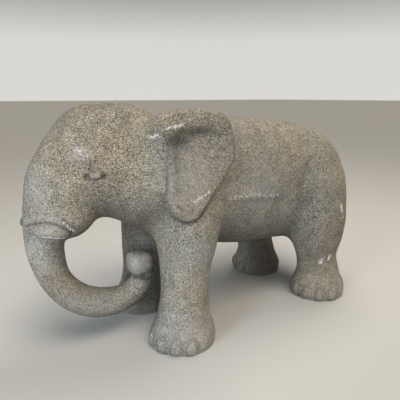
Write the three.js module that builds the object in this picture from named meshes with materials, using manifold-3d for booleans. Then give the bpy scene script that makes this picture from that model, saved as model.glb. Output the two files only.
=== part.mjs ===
// Granite elephant, carved from one block and standing on its own four feet.
// Millimetres, +Z up. It faces -X, its left side is at -Y, and its soles lie on z = 0.

import * as THREE from "three";
import { mergeVertices } from "three/addons/utils/BufferGeometryUtils.js";
import Module from "manifold-3d";

// Driving dimensions
const HEIGHT = 320; // sole to crown, in millimetres
const GRAIN = 1.15; // side of a meshing cell, in hundredths of the height
const TRIANGLES = 9600; // faces left on the finished block

// Places and radii below are in hundredths of the height, measured from the point on the
// ground under the middle of the elephant. What is given at +Y is mirrored to -Y.
const UNIT = HEIGHT / 100;

// The block reaches a little below the ground, and the soles are cut flat from it
const UNDERSIDE = -1.2;

const BODY = {
  shoulders: { at: [-12, 0, 67], radii: [30, 20.5, 26.3], flat: 6 },
  barrel: { at: [20, 0, 62.7], radii: [48, 20.5, 29.8], flat: 7 },
  rump: { at: [48, 0, 59.1], radii: [37, 20.5, 28.4], flat: 6.5 },
  blend: 8,
};

const HEAD = {
  neck: { at: [-37.5, 0, 73], radii: [18.5, 21, 22.8], flat: 6 },
  forehead: { at: [-55, 0, 81.2], radii: [16.7, 19, 18.6], flat: 0 },
  cheeks: { at: [-60, 0, 71], radii: [19.5, 17, 15], flat: 0 },
  crown: { at: [-45.8, 8.2, 90.7], radii: [9, 8, 9], flat: 0 },
  jaw: { at: [-68, 6, 59], radii: [8.8, 7.5, 8.3], flat: 0 },
};

// Stations along the trunk, each a place and a radius, from the forehead down and back to the tip
const TRUNK = [
  [-62.5, 0, 76.5, 13.6],
  [-69, 0, 68, 12.6],
  [-73.3, 0, 59.5, 10],
  [-75.8, 0, 51.5, 7.7],
  [-75.9, 0, 43, 6.7],
  [-73.4, 0, 33, 6],
  [-67.7, 0, 24.8, 6.1],
  [-59.5, 0, 18.9, 6.3],
  [-50.5, 0, 16.6, 6],
  [-42.5, 0, 17.6, 5.4],
  [-37.2, 0, 21.4, 4.9],
  [-35.3, 0, 25.5, 4.7],
  [-35.2, 0, 29.5, 4.4],
];
const TRUNK_TIP = { at: [-36.6, 0, 31.2], half: [5.3, 5.1, 5.1], round: 3.2 };

// Short tusks that lie forward along the trunk, and the crease of the mouth behind them
const TUSK = [
  [-72.3, 11.4, 55, 1.9],
  [-74.9, 11.2, 55.6, 2.7],
  [-78.8, 8.6, 56, 2.4],
  [-82.2, 4, 56.2, 1],
];
const MOUTH = [
  [-72, 12.7, 58.9, 0.9],
  [-70, 13.2, 57, 1.1],
  [-67.3, 12.6, 54.2, 1],
];

// The ear is a thick leaf against the neck, with its top edge rolled outwards
const EAR = {
  outline: [[-34, 90.3], [-18, 90], [-15.8, 81], [-29.8, 62.6], [-30.5, 66]],
  round: 7,
  half: 3.2,
  front: { x: -38, y: 26.2 },
  splay: 0.1,
  hollow: { at: [-29, 85], depth: 2.2, reach: 12 },
  pocket: { at: [-33.5, 31.3, 86.3], radii: [5.5, 3.4, 3.8], flat: 0 },
};
const EAR_ROLL = [
  [-46, 13, 86.5, 3],
  [-40.5, 18.8, 89.2, 3.6],
  [-35.5, 24.8, 92, 4.4],
  [-26, 28, 93.7, 3.8],
  [-17.5, 28.6, 91.8, 3],
  [-12, 28.8, 86, 2.2],
];
const RIGHT_EAR_DROP = 2.8; // the right ear is carved a little lower than the left

// Eyes and the brow above them
const EYE = { at: [-61.7, 18.6, 75.4], radii: [2.5, 1, 1.15], flat: 0 };
const BROW = { at: [-62.6, 15.4, 82], radii: [4.6, 1.8, 2.6], flat: 0 };

// Legs: stations from the sole up, relative to the middle of the foot, with Y towards the flank
const FRONT_LEG = [
  [0, 0, -4, 12],
  [0, 0, 11, 11.2],
  [0.3, 0, 22, 10.1],
  [0.8, 0, 34, 10.7],
  [2.6, -1.5, 46, 13.2],
  [4.2, -6, 58, 15],
  [5, -9, 70, 15],
];
const HIND_LEG = [
  [0, 0, -4, 12],
  [-1.2, 0, 11, 10.9],
  [-3.4, 0, 22, 10.3],
  [-4.8, 0, 34, 13.6],
  [-4, -2, 46, 15.3],
  [-3.6, -6, 58, 17],
  [-5, -9, 68, 15.3],
];
const LEGS = [
  { foot: [-26.5, -20], stations: FRONT_LEG },
  { foot: [-24.8, 20], stations: FRONT_LEG },
  { foot: [58.8, -22.3], stations: HIND_LEG },
  { foot: [53.8, 20.5], stations: HIND_LEG },
];
const FOOT = { forward: 1, high: 3.5, radii: [13.8, 13, 9], blend: 5 };
const TOES = { count: 4, first: 168, step: 29, out: 11.4, high: 3.6, radii: [3.4, 4.3] };

// A thin tail that lies against the rump and ends in a tuft
const TAIL = [
  [80, 0, 76, 2],
  [84.2, 0, 66, 1.9],
  [84.3, 0, 56, 1.7],
  [81.6, 0, 47.5, 1.9],
  [77.6, 0, 41.5, 2.3],
];

// Distance fields: a shape is a function of x, y and z that is negative inside the stone.

// Joins two distances with a fillet about k wide
function soften(a, b, k) {
  const h = Math.max(k - Math.abs(a - b), 0) / k;
  return Math.min(a, b) - (h * h * k) / 4;
}

// An ellipsoid, stretched along Y by a flat stretch on each side of its middle
function ellipsoid({ at: [cx, cy, cz], radii: [rx, ry, rz], flat }) {
  return (x, y, z) => {
    const px = (x - cx) / rx;
    const py = Math.max(Math.abs(y - cy) - flat, 0) / ry;
    const pz = (z - cz) / rz;
    const size = Math.sqrt(px * px + py * py + pz * pz);
    const slope = Math.sqrt((px / rx) ** 2 + (py / ry) ** 2 + (pz / rz) ** 2);
    return slope > 0 ? (size * (size - 1)) / slope : -Math.min(rx, ry, rz);
  };
}

// A block with half its size given along each axis, and rounded edges and corners
function block({ at: [cx, cy, cz], half: [hx, hy, hz], round }) {
  return (x, y, z) => {
    const px = Math.abs(x - cx) - hx + round;
    const py = Math.abs(y - cy) - hy + round;
    const pz = Math.abs(z - cz) - hz + round;
    const beyond = Math.hypot(Math.max(px, 0), Math.max(py, 0), Math.max(pz, 0));
    return beyond + Math.min(Math.max(px, py, pz), 0) - round;
  };
}

// A round limb through stations of x, y, z and radius
function limb(stations, steps) {
  const spline = (points) => new THREE.CatmullRomCurve3(points, false, "catmullrom");
  const path = spline(stations.map(([x, y, z]) => new THREE.Vector3(x, y, z)));
  const girth = spline(stations.map((station) => new THREE.Vector3(station[3], 0, 0)));
  const count = (stations.length - 1) * steps;
  const places = path.getPoints(count);
  const radii = girth.getPoints(count).map((r) => r.x);
  const runs = places.slice(1).map((end, i) => {
    const along = end.clone().sub(places[i]);
    return { start: places[i], along, square: along.lengthSq(), radius: radii[i], swell: radii[i + 1] - radii[i] };
  });
  return (x, y, z) => {
    let nearest = Infinity;
    let radius = 0;
    for (const run of runs) {
      const px = x - run.start.x;
      const py = y - run.start.y;
      const pz = z - run.start.z;
      const dot = px * run.along.x + py * run.along.y + pz * run.along.z;
      const t = Math.min(Math.max(dot / run.square, 0), 1);
      const dx = px - t * run.along.x;
      const dy = py - t * run.along.y;
      const dz = pz - t * run.along.z;
      const square = dx * dx + dy * dy + dz * dz;
      if (square < nearest) {
        nearest = square;
        radius = run.radius + run.swell * t;
      }
    }
    return Math.sqrt(nearest) - radius;
  };
}

// Distance to a flat outline in X and Z, with its corners rounded outwards
function outline(points, round) {
  return (x, z) => {
    let nearest = Infinity;
    let inside = false;
    points.forEach(([ax, az], i) => {
      const [bx, bz] = points[(i + points.length - 1) % points.length];
      const ex = bx - ax;
      const ez = bz - az;
      const wx = x - ax;
      const wz = z - az;
      const t = Math.min(Math.max((wx * ex + wz * ez) / (ex * ex + ez * ez), 0), 1);
      nearest = Math.min(nearest, (wx - ex * t) ** 2 + (wz - ez * t) ** 2);
      if (az > z !== bz > z && x < ax + ((z - az) * ex) / ez) inside = !inside;
    });
    return (inside ? -1 : 1) * Math.sqrt(nearest) - round;
  };
}

// The ear's leaf: its outline given thickness, splayed out to the rear and hollowed on its face
function earLeaf() {
  const edge = outline(EAR.outline, EAR.round);
  const { at, depth, reach } = EAR.hollow;
  const soft = 2.2; // rounding of the rim
  return (x, y, z) => {
    const dip = depth * Math.exp(-((x - at[0]) ** 2 + (z - at[1]) ** 2) / reach ** 2);
    const middle = EAR.front.y + (x - EAR.front.x) * EAR.splay - dip;
    const across = Math.abs(y - middle) - EAR.half + soft;
    const inward = edge(x, z) + soft;
    const corner = Math.hypot(Math.max(across, 0), Math.max(inward, 0));
    return corner + Math.min(Math.max(across, inward), 0) - soft;
  };
}

// One leg with its spreading foot and toes
function leg({ foot: [fx, fy], stations }) {
  const side = Math.sign(fy);
  const shaft = limb(stations.map(([x, y, z, r]) => [fx + x, fy + side * y, z, r]), 3);
  const pad = ellipsoid({ at: [fx - FOOT.forward, fy, FOOT.high], radii: FOOT.radii, flat: 0 });
  const toes = Array.from({ length: TOES.count }, (_, i) => {
    const angle = THREE.MathUtils.degToRad(TOES.first + i * TOES.step);
    const place = [fx - FOOT.forward + TOES.out * Math.cos(angle), fy - side * TOES.out * Math.sin(angle)];
    const [wide, tall] = TOES.radii;
    return ellipsoid({ at: [...place, TOES.high], radii: [wide, wide, tall], flat: 0 });
  });
  return (x, y, z) => {
    let d = soften(shaft(x, y, z), pad(x, y, z), FOOT.blend);
    if (z < 12) for (const toe of toes) d = soften(d, toe(x, y, z), 0.7);
    return d;
  };
}

function elephant() {
  const [barrel, shoulders, rump, neck] = [BODY.barrel, BODY.shoulders, BODY.rump, HEAD.neck].map(ellipsoid);
  const [forehead, cheeks, crown, jaw] = [HEAD.forehead, HEAD.cheeks, HEAD.crown, HEAD.jaw].map(ellipsoid);
  const [eye, brow, pocket] = [EYE, BROW, EAR.pocket].map(ellipsoid);
  const tip = block(TRUNK_TIP);
  const [trunk, tusk, mouth, roll, tail] = [TRUNK, TUSK, MOUTH, EAR_ROLL, TAIL].map((line) => limb(line, 4));
  const legs = LEGS.map(leg);
  const leaf = earLeaf();
  return (x, y, z) => {
    const side = Math.abs(y);
    const ear = y > 0 ? z + RIGHT_EAR_DROP : z;
    let body = soften(barrel(x, y, z), shoulders(x, y, z), BODY.blend);
    body = soften(body, rump(x, y, z), BODY.blend);
    body = soften(body, neck(x, y, z), BODY.blend);
    let head = soften(forehead(x, y, z), cheeks(x, y, z), 8);
    head = soften(head, jaw(x, side, z), 5);
    head = soften(head, crown(x, side, z), 2.5);
    head = soften(head, brow(x, side, z), 3.5);
    let d = soften(body, head, 8);
    d = soften(d, trunk(x, y, z), 4);
    d = soften(d, tip(x, y, z), 1.2);
    for (const each of legs) d = soften(d, each(x, y, z), 6);
    d = soften(d, tail(x, y, z), 2);
    d = -soften(-d, mouth(x, side, z), 0.8);
    d = soften(d, tusk(x, side, z), 0.8);
    d = soften(d, eye(x, side, z), 0.6);
    d = soften(d, leaf(x, side, ear), 1.6);
    d = soften(d, roll(x, side, ear), 3.2);
    d = -soften(-d, pocket(x, side, ear), 1.6);
    return Math.max(d, UNDERSIDE - z);
  };
}

// Meshing. Each cell of a grid is cut into six tetrahedra round its long diagonal. The surface
// crosses a tetrahedron in one or two triangles, so the mesh is always closed.
const LOW = [-88, -39, -2.6];
const HIGH = [90, 38, 103];
const BLOCK = 4; // cells along a block, which is skipped where it lies well clear of the surface
const CORNERS = Array.from({ length: 8 }, (_, c) => new THREE.Vector3(c & 1, (c >> 1) & 1, c >> 2));
const TETRAHEDRA = [[1, 3], [3, 2], [2, 6], [6, 4], [4, 5], [5, 1]].map(([a, b]) => [0, a, b, 7]);

// The ways that the surface can cross a tetrahedron: for each choice of the corners inside, the
// edges crossed, in order round the cut and seen from outside
function cutsOf(tetrahedron) {
  return Array.from({ length: 16 }, (_, choice) => {
    const inside = tetrahedron.filter((corner, i) => choice & (1 << i));
    const outside = tetrahedron.filter((corner, i) => !(choice & (1 << i)));
    const [o, a, b, c] = [...inside, ...outside].map((corner) => CORNERS[corner].clone());
    const [i, j] = inside;
    const [k, l] = outside;
    const ring =
      inside.length === 2
        ? [[i, k], [i, l], [j, l], [j, k]]
        : inside.flatMap((from) => outside.map((to) => [from, to]));
    const turned = a.sub(o).cross(b.sub(o)).dot(c.sub(o)) < 0;
    return inside.length && outside.length ? (turned ? ring.reverse() : ring) : [];
  });
}

// Calls visit with each whole-number place below the counts given
function eachPlace([ni, nj, nk], visit) {
  for (let i = 0; i < ni; i++) {
    for (let j = 0; j < nj; j++) {
      for (let k = 0; k < nk; k++) visit(i, j, k);
    }
  }
}

// Values of the field at the corners of the grid
function sampleGrid(field, counts) {
  const values = new Float32Array(counts[0] * counts[1] * counts[2]);
  const value = (i, j, k) => field(LOW[0] + i * GRAIN, LOW[1] + j * GRAIN, LOW[2] + k * GRAIN);
  const clear = 1.3 * BLOCK * GRAIN;
  eachPlace(counts.map((n) => Math.ceil(n / BLOCK)), (bi, bj, bk) => {
    const [i, j, k] = [bi * BLOCK, bj * BLOCK, bk * BLOCK];
    const middle = value(i + BLOCK / 2, j + BLOCK / 2, k + BLOCK / 2);
    const near = Math.abs(middle) < clear;
    const within = [counts[0] - i, counts[1] - j, counts[2] - k].map((n) => Math.min(n, BLOCK));
    eachPlace(within, (di, dj, dk) => {
      const n = ((i + di) * counts[1] + j + dj) * counts[2] + k + dk;
      values[n] = near ? value(i + di, j + dj, k + dk) : middle;
    });
  });
  return values;
}

function meshField(field) {
  const counts = LOW.map((low, axis) => Math.ceil((HIGH[axis] - low) / GRAIN) + 1);
  const values = sampleGrid(field, counts);
  const index = (i, j, k) => (i * counts[1] + j) * counts[2] + k;
  const steps = CORNERS.map(({ x, y, z }) => index(x, y, z));
  const shapes = TETRAHEDRA.map((corners) => ({ corners, cuts: cutsOf(corners) }));
  const points = [];
  const faces = [];
  const known = new Map();
  eachPlace(counts.map((n) => n - 1), (i, j, k) => {
    const first = index(i, j, k);
    const within = values[first] < 0;
    if (steps.every((step) => values[first + step] < 0 === within)) return;
    const inside = steps.map((step) => values[first + step] < 0);
    // The point where the surface crosses the edge between two of the cell's corners
    const crossing = ([a, b]) => {
      const [low, high] = steps[a] < steps[b] ? [a, b] : [b, a];
      const key = (first + steps[low]) * 8 + (high - low);
      if (!known.has(key)) {
        const from = values[first + steps[low]];
        const share = from / (from - values[first + steps[high]]);
        const place = CORNERS[low].clone().lerp(CORNERS[high], Math.min(Math.max(share, 0.04), 0.96));
        place.add(new THREE.Vector3(i, j, k)).multiplyScalar(GRAIN);
        known.set(key, points.push(place.add(new THREE.Vector3(...LOW))) - 1);
      }
      return known.get(key);
    };
    for (const { corners, cuts } of shapes) {
      const choice = corners.reduce((sum, corner, bit) => sum + (inside[corner] ? 1 << bit : 0), 0);
      const ring = cuts[choice].map(crossing);
      for (let n = 2; n < ring.length; n++) faces.push([ring[0], ring[n - 1], ring[n]]);
    }
  });
  return { points, faces };
}

// Thinning. The edge whose loss moves the surface least is collapsed to one point, again and again.

const PULL = 0.004; // how strongly a point stays where it was, which keeps the faces in good shape

// A sum of squared distances to planes, as the ten numbers of a symmetric 4 x 4 matrix
function addSquares(sum, { x, y, z }, offset, weight) {
  const row = [x, y, z, offset];
  let n = 0;
  for (let i = 0; i < 4; i++) {
    for (let j = i; j < 4; j++) sum[n++] += weight * row[i] * row[j];
  }
}

// The place where such a sum is least, and its value there
function leastOf([xx, xy, xz, xd, yy, yz, yd, zz, zd, dd]) {
  const ax = yy * zz - yz * yz;
  const ay = xz * yz - xy * zz;
  const az = xy * yz - xz * yy;
  const det = xx * ax + xy * ay + xz * az;
  const x = -(ax * xd + ay * yd + az * zd) / det;
  const y = -(ay * xd + (xx * zz - xz * xz) * yd + (xy * xz - xx * yz) * zd) / det;
  const z = -(az * xd + (xy * xz - xx * yz) * yd + (xx * yy - xy * xy) * zd) / det;
  return { x, y, z, cost: dd + xd * x + yd * y + zd * z };
}

// A queue that gives back the entry of least cost first
class Queue {
  heap = [];
  push(entry) {
    let at = this.heap.push(entry) - 1;
    while (at > 0) {
      const above = (at - 1) >> 1;
      if (this.heap[above].cost <= entry.cost) break;
      this.heap[at] = this.heap[above];
      at = above;
    }
    this.heap[at] = entry;
  }
  pop() {
    const [top] = this.heap;
    const entry = this.heap.pop();
    const { length } = this.heap;
    let at = 0;
    while (2 * at + 1 < length) {
      let below = 2 * at + 1;
      if (below + 1 < length && this.heap[below + 1].cost < this.heap[below].cost) below++;
      if (this.heap[below].cost >= entry.cost) break;
      this.heap[at] = this.heap[below];
      at = below;
    }
    if (length) this.heap[at] = entry;
    return top;
  }
}

// The normal of a face, as long as twice its area, into the vector given
function crossOf(a, b, c, into) {
  const [ux, uy, uz] = [b.x - a.x, b.y - a.y, b.z - a.z];
  const [vx, vy, vz] = [c.x - a.x, c.y - a.y, c.z - a.z];
  return into.set(uy * vz - uz * vy, uz * vx - ux * vz, ux * vy - uy * vx);
}

function thin({ points, faces }, target) {
  const around = points.map(() => []);
  const sums = points.map(() => new Array(10).fill(0));
  const ages = points.map(() => 0);
  const before = new THREE.Vector3();
  const after = new THREE.Vector3();
  const axes = [0, 1, 2].map((axis) => new THREE.Vector3().setComponent(axis, 1));
  faces.forEach((face, i) => {
    crossOf(...face.map((n) => points[n]), before);
    const area = before.length() / 2;
    before.normalize();
    for (const n of face) {
      around[n].push(i);
      addSquares(sums[n], before, -before.dot(points[n]), area);
      axes.forEach((axis) => addSquares(sums[n], axis, -axis.dot(points[n]), area * PULL));
    }
  });
  const neighbours = (n) => {
    const found = [];
    for (const i of around[n]) {
      for (const m of faces[i]) if (m !== n && !found.includes(m)) found.push(m);
    }
    return found;
  };
  const queue = new Queue();
  const offer = (a, b) => {
    const entry = leastOf(sums[a].map((value, i) => value + sums[b][i]));
    queue.push({ ...entry, a, b, aged: ages[a] + ages[b] });
  };
  points.forEach((_, n) => {
    for (const m of neighbours(n)) if (n < m) offer(n, m);
  });
  let left = faces.length;
  while (left > target && queue.heap.length) {
    const { a: kept, b: lost, aged, x, y, z } = queue.pop();
    if (!around[kept].length || !around[lost].length || ages[kept] + ages[lost] !== aged) continue;
    const place = new THREE.Vector3(x, y, z);
    const shared = around[kept].filter((i) => around[lost].includes(i));
    const ring = neighbours(lost);
    if (shared.length !== 2 || neighbours(kept).filter((n) => ring.includes(n)).length !== 2) continue;
    // No face may turn over, or stand nearly on edge to what it was
    const turns = (i) => {
      if (shared.includes(i)) return false;
      const [a, b, c] = faces[i];
      const moved = (n) => (n === kept || n === lost ? place : points[n]);
      crossOf(points[a], points[b], points[c], before);
      crossOf(moved(a), moved(b), moved(c), after);
      return before.dot(after) < 0.3 * before.length() * after.length();
    };
    if (around[kept].some(turns) || around[lost].some(turns)) continue;
    for (const n of ring.concat(lost, neighbours(kept))) {
      around[n] = around[n].filter((i) => !shared.includes(i));
    }
    for (const i of around[lost]) faces[i] = faces[i].map((n) => (n === lost ? kept : n));
    for (const i of shared) faces[i] = null;
    around[kept] = around[kept].concat(around[lost]);
    around[lost] = [];
    sums[kept] = sums[kept].map((value, i) => value + sums[lost][i]);
    points[kept] = place;
    ages[kept] += ages[lost] + 1;
    left -= 2;
    for (const n of neighbours(kept)) offer(kept, n);
  }
  return { points, faces: faces.filter(Boolean) };
}

// A solid of manifold-3d from a closed list of points and faces
const wasm = await Module();
wasm.setup();

function solid({ points, faces }) {
  const used = [...new Set(faces.flat())];
  const order = new Map(used.map((n, i) => [n, i]));
  const vertProperties = new Float32Array(used.flatMap((n) => points[n].toArray()));
  const triVerts = new Uint32Array(faces.flat().map((n) => order.get(n)));
  return new wasm.Manifold(new wasm.Mesh({ numProp: 3, vertProperties, triVerts }));
}

// The block of air above the ground, which the legs are cut off by
function aboveGround() {
  const size = 4 * HEIGHT;
  const box = new THREE.BoxGeometry(size, size, size).translate(0, 0, size / 2);
  box.deleteAttribute("normal");
  box.deleteAttribute("uv");
  const merged = mergeVertices(box);
  const vertProperties = merged.getAttribute("position").array;
  return new wasm.Manifold(new wasm.Mesh({ numProp: 3, vertProperties, triVerts: new Uint32Array(merged.index.array) }));
}

function carve() {
  const net = thin(meshField(elephant()), TRIANGLES);
  for (const point of net.points) point.multiplyScalar(UNIT);
  const { vertProperties, triVerts } = solid(net).intersect(aboveGround()).getMesh();
  const geometry = new THREE.BufferGeometry()
    .setAttribute("position", new THREE.BufferAttribute(vertProperties, 3))
    .setIndex(new THREE.BufferAttribute(triVerts, 1));
  geometry.computeBoundingBox();
  const middle = geometry.boundingBox.getCenter(new THREE.Vector3());
  return geometry.translate(-middle.x, -middle.y, 0);
}

const granite = new THREE.MeshStandardMaterial({ color: 0x86837b, roughness: 0.88, metalness: 0 });
const sculpture = new THREE.Mesh(carve(), granite);
sculpture.name = "elephant";

const root = new THREE.Group();
root.add(sculpture);

export default root;
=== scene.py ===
# The looks of the granite elephant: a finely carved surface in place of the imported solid,
# speckled granite, soft studio light and a camera at the photograph's angle.

import bmesh
import bpy
import numpy as np
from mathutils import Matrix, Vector, noise


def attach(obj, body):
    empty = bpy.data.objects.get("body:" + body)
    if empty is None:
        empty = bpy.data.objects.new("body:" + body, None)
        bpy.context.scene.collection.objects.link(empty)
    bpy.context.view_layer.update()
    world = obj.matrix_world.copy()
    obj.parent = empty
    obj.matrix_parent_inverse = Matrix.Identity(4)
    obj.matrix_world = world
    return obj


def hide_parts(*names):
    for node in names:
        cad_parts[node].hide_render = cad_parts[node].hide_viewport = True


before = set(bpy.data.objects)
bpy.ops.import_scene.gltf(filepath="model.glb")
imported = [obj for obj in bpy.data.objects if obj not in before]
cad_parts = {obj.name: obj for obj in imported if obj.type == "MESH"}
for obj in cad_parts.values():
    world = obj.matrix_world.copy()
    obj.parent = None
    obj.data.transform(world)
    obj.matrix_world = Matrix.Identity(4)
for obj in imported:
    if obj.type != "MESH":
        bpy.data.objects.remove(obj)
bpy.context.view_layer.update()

# The form is the solid's, carved finer. Its places, radii and distances are in hundredths of
# the height. What is given at +Y alone is mirrored to -Y.
UNIT = 0.0032  # metres
ORIGIN = np.array([1.536, -0.861, 0])  # where the part's origin lies in the form
VOXEL = 0.0029  # side of a face of the fine surface, in metres
FINER_WITHIN = 1.1  # how far from a crease the faces are split once more
PROBE = 0.1  # how far apart the distances are taken that give a slope
FAR = 99.0  # a distance that no point near the surface has
TINY = 1e-9  # keeps divisions by a length safe
LIMB_REACH = 7  # how far from a limb its distance is worked out
GROOVE_REACH = 4
TUSK_REACH = 3

# Rounded forms: a middle, three radii, and half of a flat stretch along Y
SHOULDERS = ((-12, 0, 67), (30, 20.5, 26.3), 6)
BARREL = ((20, 0, 62.7), (48, 20.5, 29.8), 7)
RUMP = ((48, 0, 59.1), (37, 20.5, 28.4), 6.5)
NECK = ((-37.5, 0, 73), (18.5, 21, 22.8), 6)
FOREHEAD = ((-55, 0, 81.2), (16.7, 19, 18.6), 0)
CHEEKS = ((-60, 0, 71), (19.5, 17, 15), 0)
CROWN = ((-45.8, 8.2, 90.7), (9, 8, 9), 0)
JAW = ((-68, 6, 59), (8.8, 7.5, 8.3), 0)
BROW = ((-62.6, 15.4, 82), (4.6, 1.8, 2.6), 0)
EYE = ((-61.7, 18.7, 75.4), (2.8, 1.2, 1.25), 0)
EAR_POCKET = ((-33.5, 31.3, 86.3), (5.5, 3.4, 3.8), 0)

# The squared tip of the trunk: a middle, half its size, and the rounding of its edges
TRUNK_TIP = ((-36.6, 0, 31.2), (5.3, 5.1, 5.1), 3.2)

# Round limbs and ridges: places along a line, each with a radius
TRUNK = [
    (-62.5, 0, 76.5, 13.6), (-69, 0, 68, 12.6), (-73.3, 0, 59.5, 10), (-75.8, 0, 51.5, 7.7),
    (-75.9, 0, 43, 6.7), (-73.4, 0, 33, 6), (-67.7, 0, 24.8, 6.1), (-59.5, 0, 18.9, 6.3),
    (-50.5, 0, 16.6, 6), (-42.5, 0, 17.6, 5.4), (-37.2, 0, 21.4, 4.9), (-35.3, 0, 25.5, 4.7),
    (-35.2, 0, 29.5, 4.4),
]
TUSK = [
    (-70.6, 11.8, 54.2, 0.8), (-73, 12.2, 54.9, 2), (-76, 11.3, 55.8, 2.6),
    (-79.6, 8.3, 56.2, 2.4), (-82.8, 3.8, 56.2, 1),
]
TAIL = [
    (80, 0, 76, 2), (84.2, 0, 66, 1.9), (84.3, 0, 56, 1.7), (81.6, 0, 47.5, 1.9), (77.6, 0, 41.5, 2.3),
]
SIDE_RIDGE = [(-9, 25.4, 62.5, 0.8), (0, 25.6, 61.7, 1.2), (10, 25.6, 60.3, 1.2), (20, 26.1, 59.6, 0.8)]

# The ear is a leaf of even thickness, splayed out to the rear, with its top edge rolled outwards
EAR_OUTLINE = [(-34, 90.3), (-18, 90), (-15.8, 81), (-29.8, 62.6), (-30.5, 66)]
EAR_ROUND = 7  # how far the outline is rounded outwards
EAR_HALF = 3.2  # half the thickness
EAR_EDGE = 1.3  # rounding of the rim
EAR_FRONT = (-38, 26.2)  # X and Y of the middle of the front edge
EAR_SPLAY = 0.1  # how far it leans out along its length
EAR_HOLLOW = ((-29, 85), 2.2, 12)  # a place in X and Z, a depth and a reach
EAR_ROLL = [
    (-46, 13, 86.5, 3), (-40.5, 18.8, 89.2, 3.6), (-35.5, 24.8, 92, 4.4), (-26, 28, 93.7, 3.8),
    (-17.5, 28.6, 91.8, 3), (-12, 28.8, 86, 2.2),
]
EAR_SINKS = (-31, -36)  # the front edge runs into the neck, more and more from here to here in X
EAR_SINKS_ABOVE = (63, 69)  # and from here to here in Z
RIGHT_EAR_DROP = 2.8  # the right ear is carved a little lower than the left

# Legs: places from the sole up, from the middle of the foot, with Y towards the flank
FRONT_LEG = [
    (0, 0, -4, 12), (0, 0, 11, 11.2), (0.3, 0, 22, 10.1), (0.8, 0, 34, 10.7),
    (2.6, -1.5, 46, 13.2), (4.2, -6, 58, 15), (5, -9, 70, 15),
]
HIND_LEG = [
    (0, 0, -4, 12), (-1.2, 0, 11, 10.9), (-3.4, 0, 22, 10.3), (-4.8, 0, 34, 13.6),
    (-4, -2, 46, 15.3), (-3.6, -6, 58, 17), (-5, -9, 68, 15.3),
]
LEGS = [  # the middle of each foot in X and Y, and the form of the leg
    ((-26.5, -20), FRONT_LEG),
    ((-24.8, 20), FRONT_LEG),
    ((58.8, -22.3), HIND_LEG),
    ((53.8, 20.5), HIND_LEG),
]

# The foot spreads round the end of the leg, and toes bulge from its front and outer side
FOOT_FORWARD = 1
FOOT_HIGH = 3.5
FOOT_RADII = (13.8, 13, 9)
TOE_ANGLES = (168, 197, 226, 255)  # degrees round the foot from +X
TOE_OUT = 11.4
TOE_HIGH = 3.6
TOE_RADII = (3.4, 3.4, 4.3)
TOES_WITHIN = 20  # toes are looked for only within this of the foot's middle
TOES_BELOW = 12

# How wide a fillet joins each form to the rest
BLEND = {
    "body": 8, "head": 8, "jaw": 5, "crown": 2.5, "brow": 3.5, "trunk": 4, "trunk tip": 1.2,
    "leg": 6, "foot": 5, "toe": 0.7, "tail": 2, "haunch": 2.5, "parting": 1.5, "side ridge": 2.5,
    "tusk": 0.5, "eye": 0.3, "ear": 0.8, "ear front": 5, "ear roll": 3.2, "ear pocket": 1.6,
    "crease": 0.5,
}

# Half the width of the crease round a form, where it meets the rest. Below zero there is none.
CREASE = {
    "trunk tip": 0.5, "under tusk": 0.5, "over tusk": 0.3, "eye": 0.32, "ear": 0.55,
    "ear front": -1.45, "toe": 0.2,
}
TUSK_MIDDLE = 55  # height that parts the crease under the tusk from the one over it
TIP_BELOW = 30  # the trunk's tip has its crease only below this height

# Creases along lines of their own, and the shallow grooves of the haunch and the crown
EYE_CORNERS = [((-64.6, 17.9, 75.3), 1), ((-58.7, 19.2, 75), 0.8)]
MOUTH = [(-72.2, 12.8, 59.4, 0.3), (-70, 13, 57.4, 0.4), (-67.4, 12.4, 54.4, 0.5)]
EAR_GROOVE = [
    (-39, 29.2, 84, 0.4), (-38.6, 29.1, 78, 0.5), (-38.6, 28.9, 72, 0.5), (-38.4, 28.6, 66, 0.6),
    (-37.4, 28.4, 61, 0.6),
]
TIP_CREASE = [  # it crosses to the left, and isn't mirrored
    (-41.8, 1.5, 25.8, 0.6), (-39.5, -2.6, 25.9, 0.8), (-36.5, -4.9, 25.2, 0.8),
    (-33.5, -4.6, 24.6, 0.5),
]
UNDER_TUSK = [
    (-83, 4.6, 54.2, 0.3), (-79.8, 9.6, 53, 0.6), (-75.8, 11.3, 52.4, 0.8), (-72.6, 11.2, 52.6, 0.8),
]
HAUNCH = [
    (41.2, 28.3, 73, 1.2), (38.3, 29.3, 67.5, 1.6), (36.2, 30, 61.5, 1.9), (35.7, 29.6, 55, 1.9),
    (37, 28.3, 48, 1.5),
]
CROWN_PARTING = [
    (-55, 0, 102, 1), (-50, 0, 101.3, 1.7), (-44, 0, 100, 2.3), (-39, 0, 97.4, 2.3),
    (-34, 0, 93.6, 1.5),
]

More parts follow.
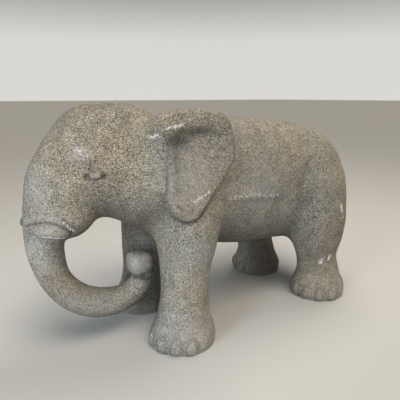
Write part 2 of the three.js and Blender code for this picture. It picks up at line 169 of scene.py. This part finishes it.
# Pale nicks, on the left only: a line on the surface, its reach to each side, and how unbroken it is
NICKS = [
    ([(-28, -30.6, 63.5), (-25.3, -30.8, 64.4), (-23.4, -30.9, 65.6), (-21.5, -31, 66.6)], 2.2, 1),
    ([(-8, -27.2, 61.6), (3.3, -27.1, 61.3), (10.3, -27.1, 60.3), (19.2, -27.5, 59.7)], 2.4, 0.9),
    ([(49.3, -30, 20.8), (49.9, -30.8, 23.6), (51.5, -32, 26.2)], 2, 1.6),
    ([(52.6, -32.6, 22.2), (53, -32.8, 25)], 1.8, 1.4),
    ([(56, -35.2, 50.6), (56.6, -35.3, 47.6)], 2, 1.4),
    ([(57.2, -35.2, 44.8), (57.6, -35, 43)], 1.6, 1.2),
    ([(-42.3, -23.3, 88.1), (-41.1, -27.1, 89.1)], 2, 1.1),
    ([(-38.2, -29.3, 91.5), (-33, -30.5, 92.6)], 2, 1.1),
    ([(-8.4, -26.6, 75), (-9.2, -26.8, 73.4)], 1.6, 1.1),
    ([(-67.4, -14.6, 85), (-65.4, -16.4, 83.2), (-63.4, -17.6, 82.6)], 4, 0.82),
    ([(-72.5, -12.4, 59.2), (-71.2, -12.7, 57.7), (-69.9, -12.7, 56.2), (-68.1, -12.4, 54.2)], 1.2, 1.15),
    ([(-82.8, -4.6, 55.3), (-80.6, -9.8, 54.6), (-77, -13.2, 54.1), (-73.6, -13.8, 53.5),
      (-70.8, -12.6, 53.6)], 1.1, 1.2),
    ([(37.6, -29.6, 67), (36.4, -30, 61), (36.1, -29.7, 55)], 1.4, 0.8),
]

# The marks of the chisel: how deep, how fine and which pattern of noise
CHISEL = [(0.16, 0.13, 1), (0.07, 0.45, 2), (0.04, 1.3, 3)]
HEWN = (0.55, 0.3, 5)  # the rougher feet
HEWN_BELOW = 12
CHIPS = (1.5, 0.42, 4)  # the chipped edges of the soles
CHIPS_AT = 0.4  # height of the deepest chips
CHIPS_FADE = 1.6  # how far from there the chips end
CHIPS_MORE = 0.1  # what is added to the noise, so that more of the edge is chipped
LEVEL_BELOW = 2  # the other marks fade out towards the ground from here
PATTERN_STEPS = (7.31, 3.17, 5.73)  # how far apart the patterns are taken from the noise

# Patches of pale dust and of painted shade, which aren't mirrored: a place, its reach and how much
DUST_AND_HIGHLIGHT = [
    ((-65.5, -16, 83), 3, 0.6), ((-61.7, -20, 75.4), 2, 0.5), ((-79, -7, 70), 7, 0.4),
    ((-30, -31, 72), 12, 0.5), ((-76, -12, 56), 5, 0.6), ((-81, -5, 45), 9, 0.4),
    ((-27, -24, 2), 13, 0.8), ((58, -26, 2), 13, 0.7), ((-66, 16.5, 82), 6, 0.8),
    ((-26, 24, 2), 13, 0.6), ((53, 24, 2), 13, 0.6), ((-25, -31, 38), 13, 0.3),
    # The patch at (-39, -3, 35), on top of the trunk's tip, is a painted highlight, not dust
    ((-39, -3, 35), 5.5, 1), ((8, -28, 67), 17, 0.3), ((-62, -5, 22), 13, 0.4),
]
# Painted shade on the crown, on the near thigh and on the far hind leg
SHADE_PATCHES = [((-50, 0, 98), 15, 0.28), ((57, -28, 30), 27, 0.22), ((53, 22, 20), 20, 0.35)]
# Painted shade in the ear's pocket, within the form below
POCKET_SHADE = ((-33.5, 31, 86.5), (7.5, 5.5, 4.5), 0)  # a rounded form round the ear's pocket


# Distances. Each is negative inside the stone.


def soften(a, b, k):
    """Joins two distances with a fillet about k wide"""
    h = np.maximum(k - np.abs(a - b), 0) / k
    return np.minimum(a, b) - h * h * k / 4


def carved(d, groove, k):
    """Cuts a groove out of a form, with its edges softened by k"""
    return -soften(-d, groove, k)


def ellipsoid(p, shape):
    """Distance to an ellipsoid that is stretched along Y by the flat part of its shape"""
    centre, radii, flat = shape
    q = p - centre
    q[:, 1] = np.maximum(np.abs(q[:, 1]) - flat, 0)
    q /= radii
    size = np.linalg.norm(q, axis=1)
    return size * (size - 1) / (np.linalg.norm(q / radii, axis=1) + TINY)


def block(p, shape):
    """Distance to a block with rounded edges and corners"""
    centre, half, rounding = shape
    q = np.abs(p - centre) - half + rounding
    return np.linalg.norm(np.maximum(q, 0), axis=1) + np.minimum(q.max(1), 0) - rounding


def spline(stations, steps=7):
    """A Catmull-Rom curve through the stations, as places with a radius each"""
    s = np.array(stations, float)
    s = np.vstack([2 * s[0] - s[1], s, 2 * s[-1] - s[-2]])
    t = np.arange(steps)[:, None] / steps
    runs = [
        0.5 * (2 * b + (c - a) * t + (2 * a - 5 * b + 4 * c - d) * t**2 + (3 * b - a - 3 * c + d) * t**3)
        for a, b, c, d in zip(s, s[1:], s[2:], s[3:])
    ]
    return np.vstack(runs + [s[-2]])


def limb(p, stations, reach=LIMB_REACH):
    """Distance to a round limb, worked out only for the points within reach of it"""
    line = spline(stations)
    radius = line[:, 3].max() + reach
    close = ((p > line[:, :3].min(0) - radius) & (p < line[:, :3].max(0) + radius)).all(1)
    q = p[close]
    nearest = np.full(len(q), np.inf)
    girth = np.zeros(len(q))
    for a, b in zip(line, line[1:]):
        along = b[:3] - a[:3]
        t = np.clip((q - a[:3]) @ along / (along @ along), 0, 1)
        square = ((q - a[:3] - t[:, None] * along) ** 2).sum(1)
        nearer = square < nearest
        nearest[nearer] = square[nearer]
        girth[nearer] = (a[3] + t * (b[3] - a[3]))[nearer]
    d = np.full(len(p), FAR)
    d[close] = np.sqrt(nearest) - girth
    return d


def ear_leaf(p):
    """Distance to the leaf of the ear"""
    x, y, z = p.T
    nearest = np.full(len(p), np.inf)
    inside = np.zeros(len(p), bool)
    for (ax, az), (bx, bz) in zip(EAR_OUTLINE, EAR_OUTLINE[-1:] + EAR_OUTLINE):
        ex, ez, wx, wz = bx - ax, bz - az, x - ax, z - az
        t = np.clip((wx * ex + wz * ez) / (ex * ex + ez * ez), 0, 1)
        nearest = np.minimum(nearest, (wx - ex * t) ** 2 + (wz - ez * t) ** 2)
        inside ^= ((az > z) != (bz > z)) & (x < ax + wz * ex / (ez or 1))
    outline = np.where(inside, -1, 1) * np.sqrt(nearest) - EAR_ROUND
    at, depth, reach = EAR_HOLLOW
    dip = depth * np.exp(-((x - at[0]) ** 2 + (z - at[1]) ** 2) / reach**2)
    across = np.abs(y - EAR_FRONT[1] - (x - EAR_FRONT[0]) * EAR_SPLAY + dip) - EAR_HALF + EAR_EDGE
    inward = outline + EAR_EDGE
    corner = np.hypot(np.maximum(across, 0), np.maximum(inward, 0))
    return corner + np.minimum(np.maximum(across, inward), 0) - EAR_EDGE


def leg(p, foot, stations):
    """Distances to one leg, and to the creases round its toes"""
    fx, fy = foot
    side = np.sign(fy)
    d = limb(p, [(fx + x, fy + side * y, z, r) for x, y, z, r in stations])
    pad = ellipsoid(p, ((fx - FOOT_FORWARD, fy, FOOT_HIGH), FOOT_RADII, 0))
    d = soften(d, pad, BLEND["foot"])
    low = (p[:, 2] < TOES_BELOW) & (np.hypot(p[:, 0] - fx, p[:, 1] - fy) < TOES_WITHIN)
    creases = np.full(len(p), FAR)
    front = d[low]
    for angle in np.radians(TOE_ANGLES):
        at = (fx - FOOT_FORWARD + TOE_OUT * np.cos(angle), fy - side * TOE_OUT * np.sin(angle), TOE_HIGH)
        toe = ellipsoid(p[low], (at, TOE_RADII, 0))
        creases[low] = np.minimum(creases[low], np.hypot(front, toe) - CREASE["toe"])
        front = soften(front, toe, BLEND["toe"])
    d[low] = front
    return d, creases


def rising(values, start, end):
    """0 at the start and 1 at the end, and level beyond them"""
    return np.clip((values - start) / (end - start), 0, 1)


def mirrored(p):
    """The points, with those on the left taken across to the right"""
    return p * (1, 0, 1) + np.abs(p) * (0, 1, 0)


def at_ear(p):
    """The mirrored points, with those on the right raised by what the right ear is lower"""
    return mirrored(p) + np.outer(p[:, 1] > 0, (0, 0, RIGHT_EAR_DROP))


def body_and_head(p):
    q = mirrored(p)
    body = soften(ellipsoid(p, BARREL), ellipsoid(p, SHOULDERS), BLEND["body"])
    body = soften(body, ellipsoid(p, RUMP), BLEND["body"])
    body = soften(body, ellipsoid(p, NECK), BLEND["body"])
    head = soften(ellipsoid(p, FOREHEAD), ellipsoid(p, CHEEKS), BLEND["head"])
    head = soften(head, ellipsoid(q, JAW), BLEND["jaw"])
    head = soften(head, ellipsoid(q, CROWN), BLEND["crown"])
    head = soften(head, ellipsoid(q, BROW), BLEND["brow"])
    return soften(body, head, BLEND["head"])


def carving(p):
    """Distances to the carved surface, to its creases that are darkened with painted shade, and to those
    that get a little of it
    """
    q = mirrored(p)
    ear = at_ear(p)
    d = soften(body_and_head(p), limb(p, TRUNK), BLEND["trunk"])
    tip = block(p, TRUNK_TIP)
    dark = np.where(p[:, 2] < TIP_BELOW, np.hypot(d, tip) - CREASE["trunk tip"], FAR)
    d = soften(d, tip, BLEND["trunk tip"])
    clean = np.full(len(p), FAR)
    for foot, stations in LEGS:
        one_leg, toes = leg(p, foot, stations)
        d = soften(d, one_leg, BLEND["leg"])
        clean = np.minimum(clean, toes)
    d = soften(d, limb(p, TAIL), BLEND["tail"])
    d = carved(d, limb(q, HAUNCH, GROOVE_REACH), BLEND["haunch"])
    d = carved(d, limb(p, CROWN_PARTING, GROOVE_REACH), BLEND["parting"])
    d = soften(d, limb(q, SIDE_RIDGE, GROOVE_REACH), BLEND["side ridge"])

    # The creases round the tusk, the eye and the ear, before these are joined on
    tusk = limb(q, TUSK, TUSK_REACH)
    eye = ellipsoid(q, EYE)
    leaf = ear_leaf(ear)
    beside_tusk = np.where(q[:, 2] < TUSK_MIDDLE, CREASE["under tusk"], CREASE["over tusk"])
    dark = np.minimum(dark, np.hypot(d, tusk) - beside_tusk)
    clean = np.minimum(clean, np.hypot(d, eye) - CREASE["eye"])
    at_front = rising(q[:, 0], *EAR_SINKS) * rising(ear[:, 2], *EAR_SINKS_ABOVE)
    beside_ear = CREASE["ear"] + (CREASE["ear front"] - CREASE["ear"]) * at_front
    clean = np.minimum(clean, np.hypot(d, leaf) - beside_ear)
    d = soften(d, tusk, BLEND["tusk"])
    d = soften(d, eye, BLEND["eye"])
    d = soften(d, leaf, BLEND["ear"] + BLEND["ear front"] * at_front)
    d = soften(d, limb(ear, EAR_ROLL), BLEND["ear roll"])
    d = carved(d, ellipsoid(ear, EAR_POCKET), BLEND["ear pocket"])

    # The creases with lines of their own
    for at, radius in EYE_CORNERS:
        dark = np.minimum(dark, np.linalg.norm(q - at, axis=1) - radius)
    dark = np.minimum(dark, limb(q, UNDER_TUSK, GROOVE_REACH))
    dark = np.minimum(dark, limb(p, TIP_CREASE, GROOVE_REACH))
    clean = np.minimum(clean, limb(q, MOUTH, GROOVE_REACH))
    clean = np.minimum(clean, limb(ear, EAR_GROOVE, GROOVE_REACH))
    return carved(d, np.minimum(dark, clean), BLEND["crease"]), dark, clean


def stone(p):
    return carving(p)[0]


def differences(p, d):
    """How much the distance grows over the probe, along each axis"""
    return np.stack([stone(p + PROBE * axis) - d for axis in np.eye(3)], 1)


def outward(p):
    """The direction that leads straight out of the stone"""
    normals = differences(p, stone(p))
    return normals / np.maximum(np.linalg.norm(normals, axis=1, keepdims=True), TINY)


def onto_surface(p, rounds=3):
    """Moves points onto the carved surface, by a step of limited length in each round"""
    longest = 1.5
    flattest = 0.3
    for _ in range(rounds):
        d = stone(p)
        slope = differences(p, d) / PROBE
        move = slope * (d / np.maximum((slope * slope).sum(1), flattest))[:, None]
        length = np.linalg.norm(move, axis=1, keepdims=True)
        p = p - move * np.minimum(1, longest / np.maximum(length, TINY))
        p[:, 2] = np.maximum(p[:, 2], 0)
    return p


# Where the surface is marked


def near_place(p, at, reach):
    """1 at the place, falling away softly over the reach"""
    return np.exp(-(np.linalg.norm(p - np.array(at), axis=1) / reach) ** 2)


def near_line(p, places, reach):
    """1 on the line, falling to 0 at the reach"""
    line = np.array(places, float)
    d = np.full(len(p), np.inf)
    for a, b in zip(line, line[1:]):
        along = b - a
        t = np.clip((p - a) @ along / (along @ along), 0, 1)
        d = np.minimum(d, np.linalg.norm(p - a - t[:, None] * along, axis=1))
    return np.clip(1 - d / reach, 0, 1)


def nicked(p):
    """How strongly the surface is nicked, which is more than 1 where a nick is unbroken"""
    return np.max([near_line(p, places, reach) * whole for places, reach, whole in NICKS], axis=0)


def noise_at(p, scale, pattern):
    offset = Vector([pattern * step for step in PATTERN_STEPS])
    return np.array([noise.noise(Vector(q) * scale + offset) for q in p])


# The fine surface


def points_of(mesh):
    """The places of a mesh's points in the form"""
    co = np.empty(len(mesh.vertices) * 3, np.float32)
    mesh.vertices.foreach_get("co", co)
    return co.reshape(-1, 3).astype(float) / UNIT + ORIGIN


def move_points(mesh, p):
    mesh.vertices.foreach_set("co", ((p - ORIGIN) * UNIT).astype(np.float32).ravel())


def refine(mesh):
    """Splits the faces that are close to a crease, or nicked"""
    p = points_of(mesh)
    _, dark, clean = carving(p)
    near = (np.minimum(dark, clean) < FINER_WITHIN) | (nicked(p) > 0)
    bm = bmesh.new()
    bm.from_mesh(mesh)
    bm.verts.ensure_lookup_table()
    chosen = [e for e in bm.edges if near[e.verts[0].index] and near[e.verts[1].index]]
    bmesh.ops.subdivide_edges(bm, edges=chosen, cuts=1, use_grid_fill=True)
    bmesh.ops.triangulate(bm, faces=[f for f in bm.faces if len(f.verts) > 4])
    bm.to_mesh(mesh)
    bm.free()


def carve_finely(piece):
    """Gives a piece small faces, and returns where their corners lie on the carved surface"""
    remesh = piece.modifiers.new("fine", "REMESH")
    remesh.mode = "VOXEL"
    remesh.voxel_size = VOXEL
    fine = bpy.data.meshes.new_from_object(piece.evaluated_get(bpy.context.evaluated_depsgraph_get()))
    piece.modifiers.clear()
    piece.data = fine
    move_points(fine, onto_surface(points_of(fine), 1))
    refine(fine)
    return onto_surface(points_of(fine))


def weathered(p, normals):
    """The points, moved by the marks of the chisel and the chips at the soles"""
    height = p[:, 2]
    uneven = sum(deep * noise_at(p, scale, pattern) for deep, scale, pattern in CHISEL)
    deep, scale, pattern = HEWN
    uneven += deep * noise_at(p, scale, pattern) * rising(height, HEWN_BELOW, 0)
    uneven *= rising(height, 0, LEVEL_BELOW)
    deep, scale, pattern = CHIPS
    at_sole = rising(np.abs(height - CHIPS_AT), CHIPS_FADE, 0) * (height > 0)
    uneven -= deep * np.clip(noise_at(p, scale, pattern) + CHIPS_MORE, 0, 1) * at_sole
    p = p + normals * uneven[:, None]
    p[:, 2] = np.maximum(p[:, 2], 0)
    return p


# Pale dust, and a painted highlight on top of the trunk's tip
def dust_and_highlight_at(p):
    return np.clip(sum(near_place(p, at, reach) * share for at, reach, share in DUST_AND_HIGHLIGHT), 0, 1)


def painted_shade_at(p, normals):
    """Painted shade in the creases, round and in the ears, on what faces down or inwards, and in a few
    patches
    """
    _, dark, clean = carving(p)
    q = mirrored(p)
    ear = at_ear(p)
    leaf = ear_leaf(ear)
    height = p[:, 2]
    # A painted shadow on the body, a little way off the rear and lower edges of the ear
    behind_ear = np.clip(6 * (leaf - 0.1), 0, 1) * rising(leaf, 2.1, 0.7)
    behind_ear *= (q[:, 0] > -32) & (q[:, 2] < 84)
    # Painted shade on what faces down, and on the inner faces of the legs
    facing_down = np.clip(-1.4 * normals[:, 2] - 0.25, 0, 1)
    facing_in = rising(-np.sign(p[:, 1]) * normals[:, 1], -0.2, 0.8)
    shares = [
        # Painted shade in the creases: in full in the dark ones and a little in the others
        rising(dark, 0.6, 0),
        0.3 * rising(clean, 0.5, 0),
        0.95 * behind_ear,
        0.8 * rising(ellipsoid(ear, POCKET_SHADE), 0, -2),
        0.85 * facing_down * rising(height, 4, 14),
        0.7 * facing_in * rising(height, 34, 22) * (p[:, 0] > -45),
    ]
    shares += [share * near_place(p, at, reach) for at, reach, share in SHADE_PATCHES]
    return np.max(shares, axis=0)


def paint(mesh, name, values):
    """Keeps a value for each point of a mesh, which a material can read"""
    attribute = mesh.attributes.new(name, "FLOAT", "POINT")
    attribute.data.foreach_set("value", values.astype(np.float32))


# Materials


class Nodes:
    """A new tree of shader nodes. An input that is given a socket is linked to it."""

    def __init__(self, owner):
        owner.use_nodes = True
        self.tree = owner.node_tree
        self.tree.nodes.clear()

    def fill(self, node, inputs):
        for key, value in inputs.items():
            if isinstance(value, bpy.types.NodeSocket):
                self.tree.links.new(value, node.inputs[key])
            else:
                node.inputs[key].default_value = value

    def add(self, kind, inputs=(), **settings):
        node = self.tree.nodes.new("ShaderNode" + kind)
        for key, value in settings.items():
            setattr(node, key, value)
        self.fill(node, dict(inputs))
        return node

    def math(self, operation, a, b=0.0, c=0.0):
        return self.add("Math", {0: a, 1: b, 2: c}, operation=operation).outputs[0]

    def times(self, a, b):
        return self.math("MULTIPLY", a, b)

    def mix(self, share, a, b, blend="MIX"):
        node = self.add("Mix", data_type="RGBA", blend_type=blend)
        self.fill(node, {0: share, 6: a, 7: b})
        return node.outputs[2]

    def ramp(self, value, stops, interpolation="LINEAR"):
        node = self.add("ValToRGB", {0: value})
        node.color_ramp.interpolation = interpolation
        elements = node.color_ramp.elements
        while len(elements) < len(stops):
            elements.new(0.5)
        for element, (place, colour) in zip(elements, stops):
            element.position = place
            element.color = (*colour, 1)
        return node.outputs[0]

    def painted(self, name):
        """A value that was painted on the mesh"""
        return self.add("Attribute", attribute_name=name).outputs["Fac"]

    def noise(self, place, scale, detail=2.0, rough=0.5):
        inputs = {"Vector": place, "Scale": scale, "Detail": detail, "Roughness": rough}
        return self.add("TexNoise", inputs).outputs[0]

    def grains(self, place, scale):
        """A mosaic of grains: two values picked for each, and the distance from its middle"""
        node = self.add("TexVoronoi", {"Vector": place, "Scale": scale, "Randomness": 1.0})
        picked = self.add("SeparateColor", {0: node.outputs["Color"]})
        return picked.outputs[0], picked.outputs[1], node.outputs["Distance"]

    def spots(self, place, scale, share, size):
        """Round spots: 1 inside, in the given share of the grains of a mosaic"""
        pick, _, distance = self.grains(place, scale)
        chosen = self.ramp(pick, [(0, (1, 1, 1)), (share, (0, 0, 0))], "CONSTANT")
        return self.times(chosen, self.ramp(distance, [(size * 0.6, (1, 1, 1)), (size, (0, 0, 0))]))


def grey(value, warm=0.0):
    """A grey that leans to red, and away from blue, by a share of its value"""
    return (value * (1 + warm), value, value * (1 - 1.6 * warm))


# Granite. A mosaic's scale is in grains for each metre. Spots also have the share of the grains
# that they take, and their radius in grains.
GRAIN_SCALE = 1150
GRAIN_COLOURS = [
    (0, grey(0.1, 0.02)), (0.2, grey(0.19, 0.04)), (0.5, grey(0.25, 0.05)), (0.8, grey(0.34, 0.05)),
    (1, grey(0.46, 0.03)),
]
FLECKS = (640, 0.22, 0.42)
FLECK_COLOUR = (*grey(0.66, 0.02), 1)
PITS = (430, 0.3, 0.39)
SMALL_PITS = (720, 0.34, 0.44)
PIT_COLOUR = (*grey(0.013), 1)

# Slow changes of tone, and a finer mottling, which the colour is multiplied by
TONE = [(0.36, (0.8, 0.795, 0.74)), (0.64, (0.98, 0.875, 0.7))]
MOTTLE = [(0.3, (0.79, 0.79, 0.79)), (0.7, (1.18, 1.18, 1.18))]

# The pale of the dust and of the painted highlight, and the dark of the painted shade
DUST_AND_HIGHLIGHT_COLOUR = (*grey(0.46, 0.02), 1)
SHADE_COLOUR = (0.035, 0.033, 0.03, 1)
NICK_COLOUR = (0.72, 0.72, 0.7, 1)

# How fully each layer covers what lies under it
COVER = {"flecks": 0.85, "pits": 0.95, "dust_and_highlight": 1.1, "painted_shade": 0.75, "nicks": 0.85}

# Noise: a scale, the number of finer layers, and how strong these are
TONE_NOISE = (9, 3)
MOTTLE_NOISE = (55, 3, 0.6)
DUST_AND_HIGHLIGHT_NOISE = (160, 3, 0.7)
NICK_NOISE = (450, 3, 0.75)
ROUGH_NOISE = (240, 4, 0.65)
NICK_SHARE = 0.35  # how much a nick adds to its noise
NICK_EDGE = (14, -10.9)  # the factor and offset that turn this into marks with hard edges


def granite_material():
    """Fine grey grains with pale flecks and black pits, over slow changes of tone, under pale dust, a
    painted highlight, painted shade and pale nicks
    """
    granite = bpy.data.materials.new("granite")
    n = Nodes(granite)
    place = n.add("TexCoord").outputs["Object"]
    grain, gloss, _ = n.grains(place, GRAIN_SCALE)
    colour = n.ramp(grain, GRAIN_COLOURS)
    colour = n.mix(n.times(n.spots(place, *FLECKS), COVER["flecks"]), colour, FLECK_COLOUR)
    pits = n.math("MAXIMUM", n.spots(place, *PITS), n.spots(place, *SMALL_PITS))
    colour = n.mix(n.times(pits, COVER["pits"]), colour, PIT_COLOUR)
    colour = n.mix(1.0, colour, n.ramp(n.noise(place, *TONE_NOISE), TONE), "MULTIPLY")
    colour = n.mix(1.0, colour, n.ramp(n.noise(place, *MOTTLE_NOISE), MOTTLE), "MULTIPLY")
    # Pale dust, and a painted highlight on top of the trunk's tip
    dust_and_highlight = n.times(n.painted("dust_and_highlight"), n.times(n.noise(place, *DUST_AND_HIGHLIGHT_NOISE), COVER["dust_and_highlight"]))
    colour = n.mix(dust_and_highlight, colour, DUST_AND_HIGHLIGHT_COLOUR)
    # Painted shade, in the creases, round the ears, underneath and in patches
    colour = n.mix(n.times(n.painted("painted_shade"), COVER["painted_shade"]), colour, SHADE_COLOUR)
    broken = n.math("MULTIPLY_ADD", n.painted("white"), NICK_SHARE, n.noise(place, *NICK_NOISE))
    marks = n.add("Clamp", {0: n.math("MULTIPLY_ADD", broken, *NICK_EDGE)}).outputs[0]
    colour = n.mix(n.times(marks, COVER["nicks"]), colour, NICK_COLOUR)

    # The finest relief: grains stand out, pits lie low, and the rest is slightly rough
    relief = n.math("SUBTRACT", n.times(grain, 0.45), n.times(pits, 1.3))
    relief = n.math("ADD", relief, n.times(n.noise(place, *ROUGH_NOISE), 0.9))
    shader = n.add("BsdfPrincipled", {
        "Base Color": colour,
        "Roughness": n.math("ADD", n.times(gloss, 0.22), 0.68),
        "Normal": n.add("Bump", {"Height": relief, "Distance": 0.0006, "Strength": 0.7}).outputs[0],
        "Specular IOR Level": 0.35,
    })
    n.add("OutputMaterial", {"Surface": shader.outputs[0]})
    return granite


def floor_material():
    pale = bpy.data.materials.new("pale_floor")
    n = Nodes(pale)
    shader = n.add("BsdfPrincipled", {"Base Color": (0.52, 0.507, 0.48, 1), "Roughness": 0.7})
    n.add("OutputMaterial", {"Surface": shader.outputs[0]})
    return pale


# The elephant
elephant = bpy.data.objects.new("granite_elephant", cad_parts["elephant"].data.copy())
bpy.context.scene.collection.objects.link(elephant)
on_surface = carve_finely(elephant)
normals = outward(on_surface)
points = weathered(on_surface, normals)
move_points(elephant.data, points)
elephant.data.shade_smooth()
elephant.data.update()
paint(elephant.data, "white", nicked(points))
# Pale dust with one painted highlight, then painted shade
paint(elephant.data, "dust_and_highlight", dust_and_highlight_at(points))
paint(elephant.data, "painted_shade", painted_shade_at(points, normals))
elephant.data.materials.clear()
elephant.data.materials.append(granite_material())

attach(elephant, "root")
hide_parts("elephant")

# The floor
FLOOR_HALF = 30  # metres
floor_mesh = bpy.data.meshes.new("floor")
corners = [(x * FLOOR_HALF, y * FLOOR_HALF, 0) for x, y in ((-1, -1), (1, -1), (1, 1), (-1, 1))]
floor_mesh.from_pydata(corners, [], [(0, 1, 2, 3)])
floor_mesh.materials.append(floor_material())
floor = bpy.data.objects.new("floor", floor_mesh)
bpy.context.scene.collection.objects.link(floor)

# The studio's sky, from straight down at 0 through level at 0.5 to straight up at 1
SKY = [
    (0.0, (0.3, 0.3, 0.3)), (0.5, (0.88, 0.86, 0.82)), (0.56, (0.86, 0.84, 0.8)),
    (0.64, (0.16, 0.165, 0.17)),
]
SKY_STRENGTH = 0.8


def studio():
    world = bpy.data.worlds.new("studio")
    n = Nodes(world)
    up = n.add("SeparateXYZ", {0: n.add("TexCoord").outputs["Generated"]}).outputs[2]
    sky = n.ramp(n.math("MULTIPLY_ADD", up, 0.5, 0.5), SKY)
    light = n.add("Background", {"Color": sky, "Strength": SKY_STRENGTH})
    n.add("OutputWorld", {"Surface": light.outputs[0]})
    return world


def hang(name, light, colour, direction, place=(0, 0, 0)):
    """Puts a light in the scene, shining in the direction given"""
    light.color = colour
    lamp = bpy.data.objects.new(name, light)
    lamp.location = place
    lamp.rotation_euler = Vector(direction).to_track_quat("-Z", "Y").to_euler()
    bpy.context.scene.collection.objects.link(lamp)


def area_light(name, place, target, size, power, colour, spread=180):
    """A round lamp of a width in metres, with its light spread over an angle in degrees"""
    light = bpy.data.lights.new(name, "AREA")
    light.shape = "DISK"
    light.size = size
    light.spread = np.radians(spread)
    light.energy = power
    hang(name, light, colour, Vector(target) - Vector(place), place)


bpy.context.scene.world = studio()
bpy.context.scene.view_settings.view_transform = "Standard"

# Cool daylight from the front and a weak fill from the left, under warm light from above
area_light("window", (-1.5, -0.55, 0.5), (-0.24, 0, 0.14), 0.6, 2.1, (0.74, 0.87, 1), 60)
area_light("fill", (-0.9, -1.2, 0.4), (-0.26, 0, 0.07), 0.4, 0.16, (0.84, 0.92, 1), 30)
area_light("ceiling", (0.4, 0.1, 1.3), (0.15, 0, 0.2), 0.8, 10, (1, 0.96, 0.9))
sun = bpy.data.lights.new("key", "SUN")
sun.energy = 1.9
sun.angle = np.radians(35)
hang("key", sun, (1, 0.92, 0.8), (0.05, 0.6, -1))

# The camera, at the photograph's angle
CAMERA_PLACE = (-0.3739, -0.5007, 0.328)
CAMERA_DOWN = 13.9  # degrees below level
CAMERA_TURN = -35.3  # degrees round, from looking along +Y
camera_data = bpy.data.cameras.new("camera")
camera_data.sensor_width = 36  # millimetres, and so is the lens
camera_data.lens = 37.8
camera_data.clip_start = 0.01
camera = bpy.data.objects.new("camera", camera_data)
camera.location = CAMERA_PLACE
camera.rotation_euler = np.radians((90 - CAMERA_DOWN, 0, CAMERA_TURN))
bpy.context.scene.collection.objects.link(camera)
bpy.context.scene.camera = camera
